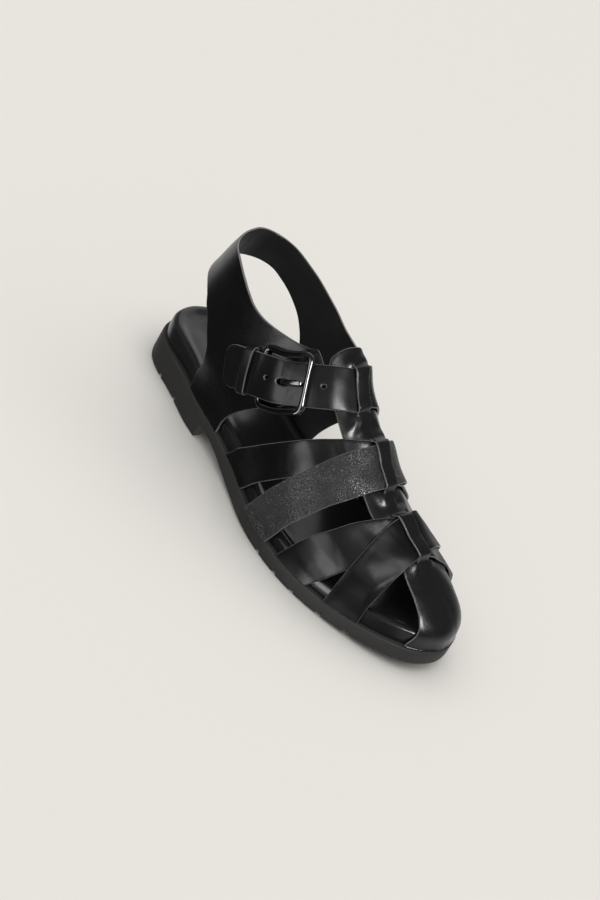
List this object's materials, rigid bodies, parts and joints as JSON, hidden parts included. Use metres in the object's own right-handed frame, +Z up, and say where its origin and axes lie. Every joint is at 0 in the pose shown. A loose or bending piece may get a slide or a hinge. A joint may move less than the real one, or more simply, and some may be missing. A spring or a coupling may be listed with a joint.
{
  "type": "fisherman sandal",
  "caption": "Flat fisherman sandal for the right foot: woven leather straps over the foot, open toe sides, heel strap, buckled instep strap, low block heel on a grooved rubber sole.",
  "frame": {"origin": "centre of the shoe's bounding box, on the floor plane under the sole", "axes": "+Y to the toe, +X to the lateral side, +Z up"},
  "size_m": [0.0902, 0.2648, 0.1054],
  "materials": {
    "outsole_rubber": "matt moulded rubber",
    "footbed_leather": "smooth leather cover, soft sheen",
    "upper_leather": "black leather, semi gloss, lightly grained",
    "closure_leather": "black leather, semi gloss",
    "keeper_leather": "black leather, semi gloss",
    "frame_metal": "black nickel, polished",
    "prong_metal": "black nickel, polished"
  },
  "bodies": {
    "root": {"outsole": "outsole_rubber", "footbed": "footbed_leather", "upper": "upper_leather", "closure_strap": "closure_leather", "keeper": "keeper_leather", "buckle_frame": "frame_metal", "buckle_prong": "prong_metal"}
  },
  "joints": []
}
